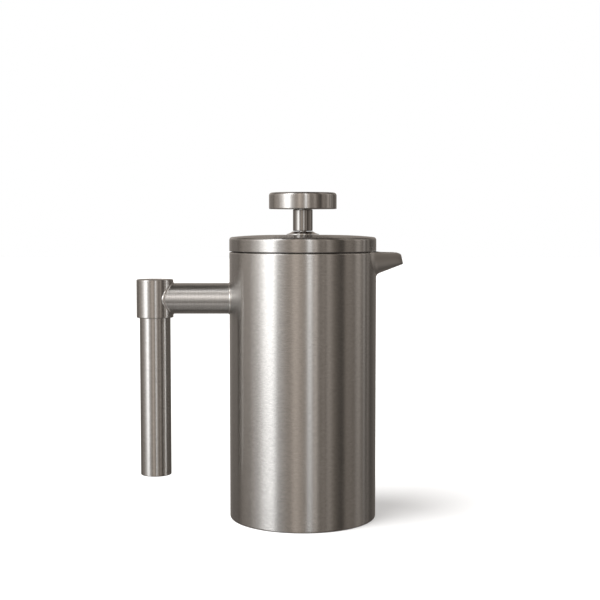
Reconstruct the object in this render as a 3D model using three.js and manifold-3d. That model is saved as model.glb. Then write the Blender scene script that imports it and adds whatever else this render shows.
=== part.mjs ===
// A double-walled steel french press with a tubular side handle.
// Millimetres, +Z up. The origin is the centre of the underside, on the vessel's axis.
// The spout points along +X and the handle along -X.
import * as THREE from "three";
import { mergeVertices } from "three/addons/utils/BufferGeometryUtils.js";
import Module from "manifold-3d";

const wasm = await Module();
wasm.setup();

// ---- Driving dimensions ----------------------------------------------------------------

// Fits between neighbouring pieces
const FIT = 0.3; // pieces that touch or are pressed together
const WALL_PLAY = 0.5; // what slides along the inside of the vessel
const EDGE = 0.5; // broken edge of a tube or plate
const SEAM = 0.8; // height of the thin open seam between lid and vessel

// Vessel
const BODY_R = 50;
const RIM_Z = 181.9;
const SHEET = 0.8; // steel sheet of both walls, the base and the inner lid
const AIR_GAP = 4; // insulating gap between the two walls
const BASE_FLANGE = 4; // how far the shell turns in under the base
const BASE_EDGE = 1.1; // radius round the shell's foot
const RIM_FLANGE = 1.4; // how far the shell turns in at the rim
const FLOOR_Z = 8.8; // inside floor
const FLOOR_CORNER = 4; // radius between the inner vessel's wall and floor
const LIP_BEND = 1; // bend where the inner vessel's wall turns out to its lip

// Spout
const SPOUT_REACH = 18.4; // tip beyond the shell
const SPOUT_TIP_DROP = 8.35; // lowest corner of the tip below the rim
const SPOUT_TIP_HALF = 4.5;
const SPOUT_WALL = 1.2;
const SPOUT_RISE = Math.tan(THREE.MathUtils.degToRad(20.7)); // slope of the underside
const SPOUT_SPREAD = Math.tan(THREE.MathUtils.degToRad(34)); // widening towards the body
const SPOUT_LEAN = THREE.MathUtils.degToRad(15.3); // lean of the cut end
const SPOUT_BLEND = 2.5; // length of the fillet where the spout meets the shell
const SPOUT_ROOT = 5; // how far behind the shell's front the spout stops widening
const RIM_DIP = 0.8; // shallow dip of the spout's rim
const NOSE_LENGTH = 5; // stretch over which the rim falls to the tip
const NOSE_DROP = 1.8;
const NOSE_LEAN = 1.4; // top of the cut end behind its lowest corner

// Handle
const TUBE_R = 10.5; // arm and grip
const TUBE_WALL = 1.2;
const HANDLE_REACH = 51; // grip's axis beyond the shell
const ARM_DROP = 31.8; // arm's axis below the rim
const SOCKET_WALL = 1.75;
const SOCKET_MARGIN = 2.5; // socket above and below the arm
const GRIP_FOOT_Z = 28.8; // the grip's lower end above the table
const BEAD = 1.5; // weld bead round each end of the arm
const CAP_THICK = 1.7; // discs that close the socket and the grip

// Lid
const LID_HEIGHT = 10.7;
const LID_SHEET = 1;
const LID_EDGE = 2.5; // rounding of the top edge
const SKIRT_DEPTH = 11.9; // inner lid's skirt below the rim
const GASKET_THICK = 0.9;
const SLOT_COUNT = 9;
const SLOT_WIDTH = 2;
const SLOT_HEIGHT = 7;
const SLOT_PITCH = THREE.MathUtils.degToRad(5.5);

// Rod bush in the lid
const BUSH_WALL = 1.4;
const BUSH_BASE_R = 11;
const BUSH_TOP_R = 7.2;
const BUSH_HEIGHT = 2.1; // dome above the lid
const GUIDE_WALL = 1;
const GUIDE_FLANGE = 1.2;
const GUIDE_SEAT = 1.5; // seat of the guide's flange below the bush's top
const NECK_END = 1; // bush neck showing below its nut
const NUT_HEIGHT = 3.6;
const NUT_MARGIN = 3.2; // corners of a nut beyond its thread

// Plunger
const ROD_R = 2.5;
const STEM_R = 6.7;
const STEM_HEIGHT = 14.6;
const KNOB_R = 23;
const KNOB_HEIGHT = 11.5;
const KNOB_EDGE = 2;
const KNOB_SHEET = 1.2;
const KNOB_RECESS = 0.4; // the knob's base is set up inside its cap
const BOSS_R = 6.5; // threaded boss inside the knob
const THREAD_GRIP = 6.5; // rod held inside the boss
const BOSS_SPARE = 1; // boss above the rod's end

// Filter stack
const STACK_GAP = 15.2; // rod's lower end above the inside floor
const END_NUT_HEIGHT = 4.4;
const ROD_PROUD = 0.6; // rod showing below its nut
const CROSS_THICK = 1.2;
const SCREEN_THICK = 0.5;
const PLATE_THICK = 1;
const PLATE_LIP = 2; // upturned lip of the filter plate
const COIL_R = 2.9; // section of the coil spring round the plate
const COIL_PLAY = 0.5; // plate's lip inside the coil
const HOLE_R = 3.2; // perforations of the filter plate
const HOLE_ROWS = [[0.42, 6], [0.74, 12]]; // share of the plate's radius, holes in the row
const COLLAR_R = 6;
const COLLAR_HEIGHT = 6;
const CROSS_MARGIN = 1.6; // cross plate inside the filter plate
const CROSS_RING = 5; // width of its outer ring
const CROSS_HUB = 3; // its hub beyond the collar
const SPOKES = 4;
const WINDOW_TURN = THREE.MathUtils.degToRad(68); // opening between two spokes

// Facets round a full turn
const FINE = 40;
const MEDIUM = 28;
const SMALL = 16;

// ---- Sizes that follow -----------------------------------------------------------------

const INNER_R = BODY_R - SHEET - AIR_GAP - SHEET;
const SKIRT_R = INNER_R - WALL_PLAY;
const SKIRT_Z = RIM_Z - SKIRT_DEPTH;
const LID_Z = RIM_Z + SEAM;
const LID_TOP_Z = LID_Z + LID_HEIGHT;
const GASKET_Z = RIM_Z + FIT;
const PAN_Z = GASKET_Z + GASKET_THICK + FIT; // underside of the inner lid
const GUIDE_BORE = ROD_R + FIT;
const GUIDE_R = GUIDE_BORE + GUIDE_WALL;
const BUSH_BORE = GUIDE_R + FIT;
const BUSH_NECK_R = BUSH_BORE + BUSH_WALL;
const LID_HOLE_R = BUSH_NECK_R + FIT;
const BUSH_Z = LID_TOP_Z + FIT;
const BUSH_TOP_Z = BUSH_Z + BUSH_HEIGHT;
const BUSH_NUT_Z = PAN_Z - FIT - NUT_HEIGHT;
const STEM_Z = BUSH_TOP_Z + FIT;
const KNOB_BASE_Z = STEM_Z + STEM_HEIGHT + FIT;
const KNOB_Z = KNOB_BASE_Z - KNOB_RECESS;
const KNOB_TOP_Z = KNOB_Z + KNOB_HEIGHT;
const ROD_TOP_Z = KNOB_BASE_Z + THREAD_GRIP;
const ROD_END_Z = FLOOR_Z + STACK_GAP;
const CROSS_Z = ROD_END_Z + ROD_PROUD + END_NUT_HEIGHT + FIT;
const SCREEN_Z = CROSS_Z + CROSS_THICK + FIT;
const PLATE_Z = SCREEN_Z + SCREEN_THICK + FIT;
const COLLAR_Z = PLATE_Z + PLATE_THICK + FIT;
const COIL_RING_R = INNER_R - WALL_PLAY - COIL_R;
const COIL_Z = SCREEN_Z + SCREEN_THICK + FIT + COIL_R;
const PLATE_R = COIL_RING_R - COIL_R - COIL_PLAY;
const SCREEN_R = INNER_R - WALL_PLAY - FIT;
const ARM_Z = RIM_Z - ARM_DROP;
const GRIP_X = -(BODY_R + HANDLE_REACH);
const SOCKET_BORE = TUBE_R + FIT;
const SOCKET_R = SOCKET_BORE + SOCKET_WALL;
const SOCKET_Z = ARM_Z - TUBE_R - SOCKET_MARGIN;
const SOCKET_TOP_Z = ARM_Z + TUBE_R + SOCKET_MARGIN;
const SPOUT_TIP_X = BODY_R + SPOUT_REACH;
const SPOUT_TIP_Z = RIM_Z - SPOUT_TIP_DROP;

// ---- Finishes --------------------------------------------------------------------------

function finish(color, roughness, metalness) {
  return new THREE.MeshStandardMaterial({ color, roughness, metalness });
}

const brushedSteel = () => finish(0x9d9891, 0.38, 1);
const plainSteel = () => finish(0xa9a6a1, 0.3, 1);
const polishedSteel = () => finish(0xc9c7c3, 0.1, 1);
const siliconeRubber = () => finish(0x23211f, 0.75, 0);
const whiteNylon = () => finish(0xe6e2d8, 0.5, 0);

// ---- Solids ----------------------------------------------------------------------------

// A closed geometry as a solid that can be joined and cut.
function solid(geometry) {
  const bare = new THREE.BufferGeometry();
  bare.setAttribute("position", geometry.getAttribute("position"));
  bare.setIndex(geometry.getIndex());
  const merged = mergeVertices(bare, 1e-4);
  const mesh = new wasm.Mesh({
    numProp: 3,
    vertProperties: new Float32Array(merged.getAttribute("position").array),
    triVerts: new Uint32Array(merged.getIndex().array),
  });
  return new wasm.Manifold(mesh);
}

// A solid back as a named mesh.
function piece(name, body, material) {
  const mesh = body.getMesh();
  const geometry = new THREE.BufferGeometry();
  geometry.setAttribute("position", new THREE.BufferAttribute(mesh.vertProperties, 3));
  geometry.setIndex(new THREE.BufferAttribute(mesh.triVerts, 1));
  geometry.computeVertexNormals();
  const made = new THREE.Mesh(geometry, material);
  made.name = name;
  return made;
}

// Points of an arc in the (radius, height) plane, with angles in degrees.
function arc(centreR, centreZ, radius, from, to, steps = 3) {
  const points = [];
  for (let i = 0; i <= steps; i++) {
    const angle = THREE.MathUtils.degToRad(from + ((to - from) * i) / steps);
    points.push([centreR + radius * Math.cos(angle), centreZ + radius * Math.sin(angle)]);
  }
  return points;
}

// A profile turned about Z. It runs anticlockwise, and is closed here unless it starts on the axis.
function turned(profile, facets) {
  const outline = profile.map(([r, z]) => new THREE.Vector2(r, z));
  if (profile[0][0] > 0) outline.push(outline[0].clone());
  const geometry = new THREE.LatheGeometry(outline, facets);
  geometry.rotateX(Math.PI / 2);
  return solid(geometry);
}

// A plain disc, or a washer when a bore is given.
function disc(radius, z0, z1, facets, bore = 0) {
  return turned([[bore, z0], [radius, z0], [radius, z1], [bore, z1]], facets);
}

// A tube with a broken outer edge at both ends.
function tube(radius, bore, z0, z1, facets, edge) {
  return turned([
    [bore, z0],
    [radius - edge, z0],
    [radius, z0 + edge],
    [radius, z1 - edge],
    [radius - edge, z1],
    [bore, z1],
  ], facets);
}

// A hexagonal nut with its bore.
function hexNut(cornerR, bore, z0, height) {
  const outline = disc(cornerR, z0, z0 + height, 6);
  return outline.subtract(disc(bore, z0 - 1, z0 + height + 1, SMALL));
}

// A round bar along X, from x0 to x1 at the arm's height.
function barAlongX(radius, x0, x1) {
  const geometry = new THREE.CylinderGeometry(radius, radius, x1 - x0, MEDIUM);
  geometry.rotateZ(Math.PI / 2);
  geometry.translate((x0 + x1) / 2, 0, ARM_Z);
  return solid(geometry);
}

// Rings of equal length joined into one closed skin. The rings run towards +X, and each
// turns anticlockwise as seen from +X.
function lofted(rings) {
  const count = rings[0].length;
  const vertices = rings.flat().flatMap((p) => [p.x, p.y, p.z]);
  const triangles = [];
  for (let i = 0; i + 1 < rings.length; i++) {
    for (let j = 0; j < count; j++) {
      const here = i * count + j;
      const next = i * count + ((j + 1) % count);
      triangles.push(here, next, next + count);
      triangles.push(here, next + count, here + count);
    }
  }
  const last = (rings.length - 1) * count;
  for (let j = 1; j + 1 < count; j++) {
    triangles.push(0, j + 1, j);
    triangles.push(last, last + j, last + j + 1);
  }
  const geometry = new THREE.BufferGeometry();
  geometry.setAttribute("position", new THREE.Float32BufferAttribute(vertices, 3));
  geometry.setIndex(triangles);
  return solid(geometry);
}

// ---- Spout -----------------------------------------------------------------------------

// Height of the spout's rim: a shallow dip, then a nose that falls away.
function spoutRim(x) {
  const out = THREE.MathUtils.smoothstep(x, BODY_R, BODY_R + NOSE_LENGTH);
  const noseX = SPOUT_TIP_X - NOSE_LEAN - NOSE_LENGTH;
  const nose = Math.max(0, (x - noseX) / NOSE_LENGTH);
  return RIM_Z - RIM_DIP * out - NOSE_DROP * nose ** 3;
}

// Half-width and depth of the spout's section, widened by its fillet at the shell.
function spoutSection(x) {
  const blendX = BODY_R + SPOUT_BLEND;
  const wideX = Math.max(x, BODY_R - SPOUT_ROOT);
  const deepX = Math.max(x, BODY_R - 1);
  const half = SPOUT_TIP_HALF + SPOUT_SPREAD * (SPOUT_TIP_X - wideX);
  const under = SPOUT_TIP_Z - SPOUT_RISE * (SPOUT_TIP_X - deepX);
  const flare = 0.03 * Math.max(0, blendX - wideX) ** 2;
  const sag = 0.32 * Math.max(0, blendX - deepX) ** 2;
  return { half: half + flare, depth: spoutRim(x) - under + sag };
}

// The spout as a filled beak, grown all round by `grow` and raised by `raise` above its rim.
function beak(grow, raise) {
  const inside = INNER_R * 0.85;
  const nearShell = [-SPOUT_ROOT, -2.5, -1, 0, 1, SPOUT_BLEND, NOSE_LENGTH];
  const nearTip = [-NOSE_LEAN - NOSE_LENGTH, -4, -NOSE_LEAN - 1, 2];
  const stations = [
    inside,
    ...nearShell.map((offset) => BODY_R + offset),
    ...nearTip.map((offset) => SPOUT_TIP_X + offset),
  ];
  const steps = 12;
  const rings = stations.map((x) => {
    const { half, depth } = spoutSection(x);
    const rim = spoutRim(x);
    const ring = [];
    for (let i = 0; i <= steps; i++) {
      const angle = Math.PI + (Math.PI * i) / steps;
      const y = (half + grow) * Math.cos(angle);
      ring.push(new THREE.Vector3(x, y, rim + (depth + grow) * Math.sin(angle)));
    }
    if (raise > 0) {
      ring.push(new THREE.Vector3(x, half + grow, rim + raise));
      ring.push(new THREE.Vector3(x, -half - grow, rim + raise));
    }
    return ring;
  });
  return lofted(rings);
}

// The leaning cut across the spout's end.
function spoutEndCut() {
  const size = 60;
  const geometry = new THREE.BoxGeometry(size, size, size);
  geometry.translate(size / 2, 0, 0);
  geometry.rotateY(-SPOUT_LEAN);
  geometry.translate(SPOUT_TIP_X, 0, SPOUT_TIP_Z);
  return solid(geometry);
}

function spout() {
  const channel = beak(-SPOUT_WALL, 10);
  const interior = disc(INNER_R, FLOOR_Z, RIM_Z + 10, FINE);
  return beak(0, 0).subtract(channel).subtract(interior).subtract(spoutEndCut());
}

// The opening that the spout passes through in both walls.
function spoutNotch() {
  return beak(FIT, 10);
}

// ---- Vessel ----------------------------------------------------------------------------

function outerShell() {
  const inside = BODY_R - SHEET;
  const profile = [
    [BODY_R - BASE_FLANGE, 0],
    ...arc(BODY_R - BASE_EDGE, BASE_EDGE, BASE_EDGE, -90, 0),
    ...arc(BODY_R - EDGE, RIM_Z - EDGE, EDGE, 0, 90, 2),
    [BODY_R - RIM_FLANGE, RIM_Z],
    [BODY_R - RIM_FLANGE, RIM_Z - SHEET],
    [inside, RIM_Z - SHEET],
    [inside, SHEET],
    [BODY_R - BASE_FLANGE, SHEET],
  ];
  return turned(profile, FINE).subtract(spoutNotch());
}

function innerVessel() {
  const outside = INNER_R + SHEET;
  const lip = BODY_R - RIM_FLANGE - FIT;
  const corner = FLOOR_CORNER;
  const mitre = SHEET * (Math.SQRT2 - 1); // keeps the bend one sheet thick
  const profile = [
    [0, FLOOR_Z - SHEET],
    ...arc(outside - corner, FLOOR_Z - SHEET + corner, corner, -90, 0),
    [outside, RIM_Z - SHEET - LIP_BEND],
    [outside + LIP_BEND, RIM_Z - SHEET],
    [lip, RIM_Z - SHEET],
    [lip, RIM_Z],
    [outside + LIP_BEND - mitre, RIM_Z],
    [INNER_R, RIM_Z - SHEET - LIP_BEND + mitre],
    ...arc(INNER_R - corner + SHEET, FLOOR_Z + corner - SHEET, corner - SHEET, 0, -90),
    [0, FLOOR_Z],
  ];
  return turned(profile, FINE).subtract(spoutNotch());
}

// A pressed disc with one shallow stiffening ring.
function basePlate() {
  const edge = BODY_R - BASE_FLANGE - FIT;
  const ringOut = edge * 0.84;
  const ringIn = edge * 0.66;
  const rise = 0.6;
  return turned([
    [0, 0],
    [ringIn, 0],
    [ringIn + rise, rise],
    [ringOut - rise, rise],
    [ringOut, 0],
    [edge, 0],
    [edge, SHEET],
    [ringOut, SHEET],
    [ringOut - rise, SHEET + rise],
    [ringIn + rise, SHEET + rise],
    [ringIn, SHEET],
    [0, SHEET],
  ], FINE);
}

// ---- Handle ----------------------------------------------------------------------------

function atGrip(body) {
  return body.translate([GRIP_X, 0, 0]);
}

// The arm is a tube cut to a saddle at both ends, each with its weld bead.
function handleArm() {
  const reach = [GRIP_X, -BODY_R / 2];
  const low = ARM_Z - 2 * TUBE_R;
  const high = ARM_Z + 2 * TUBE_R;
  const post = (radius) => atGrip(disc(radius, low, high, FINE));
  const drum = (radius) => disc(radius, low, high, FINE);
  const bar = barAlongX(TUBE_R, ...reach);
  const collar = barAlongX(TUBE_R + BEAD / 2, ...reach);
  const bead = post(SOCKET_R + FIT + BEAD).add(drum(BODY_R + FIT + BEAD));
  const bore = barAlongX(TUBE_R - TUBE_WALL, ...reach);
  return bar
    .add(collar.intersect(bead))
    .subtract(bore)
    .subtract(post(SOCKET_R + FIT))
    .subtract(drum(BODY_R + FIT));
}

function handleSocket() {
  return atGrip(tube(SOCKET_R, SOCKET_BORE, SOCKET_Z, SOCKET_TOP_Z, MEDIUM, EDGE));
}

function socketCap() {
  return atGrip(disc(SOCKET_BORE - FIT, SOCKET_TOP_Z - CAP_THICK, SOCKET_TOP_Z, MEDIUM));
}

function handleGrip() {
  const top = SOCKET_TOP_Z - CAP_THICK - FIT;
  return atGrip(tube(TUBE_R, TUBE_R - TUBE_WALL, GRIP_FOOT_Z, top, MEDIUM, EDGE));
}

function gripEndCap() {
  const radius = TUBE_R - TUBE_WALL - FIT;
  return atGrip(disc(radius, GRIP_FOOT_Z, GRIP_FOOT_Z + CAP_THICK, MEDIUM));
}

// ---- Lid -------------------------------------------------------------------------------

function lidCover() {
  const inside = BODY_R - LID_SHEET;
  const under = LID_TOP_Z - LID_SHEET;
  const bend = LID_EDGE - LID_SHEET;
  return turned([
    [inside, LID_Z],
    [BODY_R - EDGE, LID_Z],
    [BODY_R, LID_Z + EDGE],
    ...arc(BODY_R - LID_EDGE, LID_TOP_Z - LID_EDGE, LID_EDGE, 0, 90),
    [LID_HOLE_R, LID_TOP_Z],
    [LID_HOLE_R, under],
    [inside - bend, under],
    [inside, under - bend],
  ], FINE);
}

// One of the strainer's slots, a tall box through the skirt.
function strainerSlot(angle) {
  const geometry = new THREE.BoxGeometry(WALL_PLAY + 4 * SHEET, SLOT_WIDTH, SLOT_HEIGHT);
  geometry.translate(SKIRT_R - SHEET / 2, 0, (SKIRT_Z + RIM_Z) / 2);
  geometry.rotateZ(angle);
  return solid(geometry);
}

// The inner lid: a plate with a skirt that centres the lid and strains what is poured.
function lidPan() {
  const skirtIn = SKIRT_R - SHEET;
  let pan = turned([
    [LID_HOLE_R, PAN_Z],
    [skirtIn, PAN_Z],
    [skirtIn, SKIRT_Z],
    [SKIRT_R, SKIRT_Z],
    [SKIRT_R, PAN_Z],
    [BODY_R - LID_SHEET - FIT, PAN_Z],
    [BODY_R - LID_SHEET - FIT, PAN_Z + SHEET],
    [LID_HOLE_R, PAN_Z + SHEET],
  ], FINE);
  for (let i = 0; i < SLOT_COUNT; i++) {
    pan = pan.subtract(strainerSlot((i - (SLOT_COUNT - 1) / 2) * SLOT_PITCH));
  }
  return pan;
}

function lidGasket() {
  const outside = BODY_R - RIM_FLANGE - FIT;
  return disc(outside, GASKET_Z, PAN_Z - FIT, FINE, SKIRT_R + FIT);
}

// The bush's cone stands on the lid, and its threaded neck goes down through both lid plates.
function rodBush() {
  const seatZ = BUSH_TOP_Z - GUIDE_SEAT;
  const seatR = GUIDE_R + GUIDE_FLANGE + FIT;
  return turned([
    [BUSH_BORE, BUSH_NUT_Z - NECK_END],
    [BUSH_NECK_R, BUSH_NUT_Z - NECK_END],
    [BUSH_NECK_R, BUSH_Z],
    [BUSH_BASE_R, BUSH_Z],
    [BUSH_BASE_R - FIT, BUSH_Z + FIT],
    [BUSH_TOP_R, BUSH_TOP_Z],
    [seatR, BUSH_TOP_Z],
    [seatR, seatZ],
    [BUSH_BORE, seatZ],
  ], MEDIUM);
}

function bushNut() {
  return hexNut(BUSH_NECK_R + NUT_MARGIN, LID_HOLE_R, BUSH_NUT_Z, NUT_HEIGHT);
}

function rodGuide() {
  const flangeZ = BUSH_TOP_Z - GUIDE_SEAT + FIT;
  return turned([
    [GUIDE_BORE, BUSH_NUT_Z - NECK_END],
    [GUIDE_R, BUSH_NUT_Z - NECK_END],
    [GUIDE_R, flangeZ],
    [GUIDE_R + GUIDE_FLANGE, flangeZ],
    [GUIDE_R + GUIDE_FLANGE, BUSH_TOP_Z - FIT],
    [GUIDE_BORE, BUSH_TOP_Z - FIT],
  ], SMALL);
}

// ---- Plunger ---------------------------------------------------------------------------

function knobCap() {
  const inside = KNOB_R - KNOB_SHEET;
  const under = KNOB_TOP_Z - KNOB_SHEET;
  return turned([
    [0, under],
    [inside, under],
    [inside, KNOB_Z],
    [KNOB_R - EDGE, KNOB_Z],
    [KNOB_R, KNOB_Z + EDGE],
    ...arc(KNOB_R - KNOB_EDGE, KNOB_TOP_Z - KNOB_EDGE, KNOB_EDGE, 0, 90),
    [0, KNOB_TOP_Z],
  ], FINE);
}

function knobBase() {
  const bossTop = ROD_TOP_Z + BOSS_SPARE;
  return turned([
    [ROD_R + FIT, KNOB_BASE_Z],
    [KNOB_R - KNOB_SHEET - FIT, KNOB_BASE_Z],
    [KNOB_R - KNOB_SHEET - FIT, KNOB_BASE_Z + KNOB_SHEET],
    [BOSS_R, KNOB_BASE_Z + KNOB_SHEET],
    [BOSS_R, bossTop],
    [ROD_R + FIT, bossTop],
  ], MEDIUM);
}

function knobStem() {
  return tube(STEM_R, ROD_R + FIT, STEM_Z, STEM_Z + STEM_HEIGHT, MEDIUM, EDGE);
}

function plungerRod() {
  return turned([
    [0, ROD_END_Z],
    [ROD_R - EDGE, ROD_END_Z],
    [ROD_R, ROD_END_Z + EDGE],
    [ROD_R, ROD_TOP_Z - EDGE],
    [ROD_R - EDGE, ROD_TOP_Z],
    [0, ROD_TOP_Z],
  ], SMALL);
}

function rodCollar() {
  return tube(COLLAR_R, ROD_R + FIT, COLLAR_Z, COLLAR_Z + COLLAR_HEIGHT, SMALL, EDGE);
}

// A perforated plate with an upturned lip that the coil spring surrounds.
function filterPlate() {
  const top = PLATE_Z + PLATE_THICK;
  let plate = turned([
    [ROD_R + FIT, PLATE_Z],
    [PLATE_R, PLATE_Z],
    [PLATE_R, top + PLATE_LIP],
    [PLATE_R - PLATE_THICK, top + PLATE_LIP],
    [PLATE_R - PLATE_THICK, top],
    [ROD_R + FIT, top],
  ], FINE);
  const hole = disc(HOLE_R, PLATE_Z - 1, top + 1, 10);
  for (const [share, count] of HOLE_ROWS) {
    for (let i = 0; i < count; i++) {
      const angle = (2 * Math.PI * i) / count;
      const spot = [PLATE_R * share * Math.cos(angle), PLATE_R * share * Math.sin(angle), 0];
      plate = plate.subtract(hole.translate(spot));
    }
  }
  return plate;
}

function filterCoil() {
  const geometry = new THREE.TorusGeometry(COIL_RING_R, COIL_R, 8, FINE);
  geometry.translate(0, 0, COIL_Z);
  return solid(geometry);
}

function filterScreen() {
  return disc(SCREEN_R, SCREEN_Z, SCREEN_Z + SCREEN_THICK, FINE, ROD_R + FIT);
}

// A ring on four spokes, which presses the screen against the filter plate.
function crossPlate() {
  const outside = PLATE_R - CROSS_MARGIN;
  const half = WINDOW_TURN / 2;
  const outline = new THREE.Shape();
  outline.absarc(0, 0, outside - CROSS_RING, -half, half, false);
  outline.absarc(0, 0, COLLAR_R + CROSS_HUB, half, -half, true);
  outline.closePath();
  const options = { depth: CROSS_THICK + 2, bevelEnabled: false, curveSegments: 6 };
  const geometry = new THREE.ExtrudeGeometry(outline, options);
  geometry.translate(0, 0, CROSS_Z - 1);
  const opening = solid(geometry);
  let plate = disc(outside, CROSS_Z, CROSS_Z + CROSS_THICK, FINE, ROD_R + FIT);
  for (let i = 0; i < SPOKES; i++) {
    plate = plate.subtract(opening.rotate([0, 0, ((i + 0.5) * 360) / SPOKES]));
  }
  return plate;
}

function endNut() {
  return hexNut(ROD_R + NUT_MARGIN, ROD_R + FIT, ROD_END_Z + ROD_PROUD, END_NUT_HEIGHT);
}

// ---- Assembly --------------------------------------------------------------------------

function group(...pieces) {
  const made = new THREE.Group();
  made.add(...pieces);
  return made;
}

const vessel = group(
  piece("outer_shell", outerShell(), brushedSteel()),
  piece("inner_vessel", innerVessel(), plainSteel()),
  piece("base_plate", basePlate(), brushedSteel()),
  piece("spout", spout(), brushedSteel()),
);

const handle = group(
  piece("handle_arm", handleArm(), brushedSteel()),
  piece("handle_socket", handleSocket(), brushedSteel()),
  piece("socket_cap", socketCap(), brushedSteel()),
  piece("handle_grip", handleGrip(), brushedSteel()),
  piece("grip_end_cap", gripEndCap(), brushedSteel()),
);

const lid = group(
  piece("lid_cover", lidCover(), brushedSteel()),
  piece("lid_pan", lidPan(), plainSteel()),
  piece("lid_gasket", lidGasket(), siliconeRubber()),
  piece("rod_bush", rodBush(), polishedSteel()),
  piece("bush_nut", bushNut(), plainSteel()),
  piece("rod_guide", rodGuide(), whiteNylon()),
);

const plunger = group(
  piece("knob_cap", knobCap(), brushedSteel()),
  piece("knob_base", knobBase(), brushedSteel()),
  piece("knob_stem", knobStem(), polishedSteel()),
  piece("plunger_rod", plungerRod(), polishedSteel()),
  piece("rod_collar", rodCollar(), plainSteel()),
  piece("filter_plate", filterPlate(), plainSteel()),
  piece("filter_coil", filterCoil(), plainSteel()),
  piece("filter_screen", filterScreen(), plainSteel()),
  piece("cross_plate", crossPlate(), plainSteel()),
  piece("end_nut", endNut(), plainSteel()),
);

export default group(vessel, handle, lid, plunger);
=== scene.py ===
# %% [markdown]
# # A steel french press with a side handle
#
# The press is made of turned and drawn stainless steel: a double-walled vessel, a pressed spout,
# a tubular handle, a lid and a plunger. Nearly every piece is round, so nearly every piece is made
# as a lathe would make it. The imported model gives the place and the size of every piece, and this
# script gives each one its fine shape and its finish.

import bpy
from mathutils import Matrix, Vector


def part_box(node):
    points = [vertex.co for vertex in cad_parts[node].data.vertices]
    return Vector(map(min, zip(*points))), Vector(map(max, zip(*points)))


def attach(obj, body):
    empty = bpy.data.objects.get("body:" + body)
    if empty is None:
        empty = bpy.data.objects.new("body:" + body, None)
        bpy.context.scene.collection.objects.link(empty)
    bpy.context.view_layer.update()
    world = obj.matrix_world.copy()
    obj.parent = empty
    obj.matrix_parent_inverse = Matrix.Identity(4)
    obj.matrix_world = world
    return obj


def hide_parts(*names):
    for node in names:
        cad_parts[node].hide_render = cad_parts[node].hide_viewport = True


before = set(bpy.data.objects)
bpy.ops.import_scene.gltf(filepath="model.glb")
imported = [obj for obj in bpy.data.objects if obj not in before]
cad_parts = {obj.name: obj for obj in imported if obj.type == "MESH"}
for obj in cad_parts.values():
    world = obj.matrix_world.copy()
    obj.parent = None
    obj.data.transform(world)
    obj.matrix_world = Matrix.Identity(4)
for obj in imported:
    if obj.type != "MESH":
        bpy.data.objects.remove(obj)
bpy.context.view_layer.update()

# %% Units and sizes
import math

import bpy
import numpy as np

MM = 0.001

shell_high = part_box("outer_shell")[1]
liner_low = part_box("inner_vessel")[0]
lid_low, lid_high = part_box("lid_cover")
pan_low, pan_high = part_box("lid_pan")
spout_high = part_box("spout")[1]
socket_low, socket_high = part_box("handle_socket")
grip_low, grip_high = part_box("handle_grip")

BODY_R = shell_high.y
RIM_Z = shell_high.z
SHEET = 0.8 * MM
AIR_GAP = 4 * MM
INNER_R = BODY_R - 2 * SHEET - AIR_GAP
ARM_Z = (socket_low.z + socket_high.z) / 2
GRIP_X = (grip_low.x + grip_high.x) / 2
TUBE_R = grip_high.y
SOCKET_R = socket_high.y
print("body radius", BODY_R, "rim height", RIM_Z, "grip axis", GRIP_X, "arm height", ARM_Z)

# %% [markdown]
# ## The camera
#
# A long lens a little above the rim shows the cylinder nearly straight on. A camera is placed first,
# because every later choice of shape and light is judged through it.

# %% Camera
CAMERA_PLACE = (-0.0019, -0.8076, 0.2012)
CAMERA_PITCH = math.radians(86.3)
LENS = 71.03

bpy.ops.object.camera_add(location=CAMERA_PLACE, rotation=(CAMERA_PITCH, 0, 0))
camera = bpy.context.object
camera.data.lens = LENS
camera.data.sensor_width = 36
camera.data.clip_start = 0.01
bpy.context.scene.camera = camera
bpy.context.scene.view_settings.view_transform = "Standard"
print("camera", tuple(camera.location), "lens", camera.data.lens)

# %% [markdown]
# ## The studio
#
# Steel has no colour of its own to speak of: what it shows is the room. The room here is a plain
# studio, written as tables. Two go round the press and say how bright the studio is in each
# direction: a large softbox on the left, a narrow reflector in front and dark gaps between the flats
# on the right. Two more go from the floor to the ceiling, one for the walls and one for the lamps.
# Real softboxes would do as well, but a world made of ramps costs almost nothing to render and has
# no noise. The camera itself sees plain white.

# %% The tables of light
# Azimuth in degrees, 0 towards the camera and positive to the right, then the brightness and the
# warmth of what stands there.
LEFT_HALF = [
    (-180, 0.12, 1.0),   # back wall
    (-157, 0.145, 0.7),
    (-143, 0.105, 0.8),
    (-126, 0.11, 0.8),
    (-119, 0.085, 0.9),  # gap
    (-111, 0.14, 0.9),
    (-100, 0.18, 0.8),
    (-91, 0.185, 0.7),
    (-82, 0.305, 0.5),   # spill beside the softbox
    (-74, 0.385, 0.3),
    (-67, 0.60, 0.2),
    (-61, 0.83, 0.1),
    (-54, 0.94, 0.06),   # softbox
    (-49, 0.95, 0.06),
    (-44, 0.70, 0.1),
    (-39.5, 0.34, 0.25),
    (-33, 0.265, 0.5),
    (-26, 0.20, 0.9),
    (-20, 0.18, 1.0),    # warm wall behind the camera
    (-16, 0.245, 1.0),
    (-12, 0.31, 1.0),
    (-8, 0.27, 1.0),
    (-3, 0.205, 1.05),
    (0, 0.195, 1.0),
]
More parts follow.
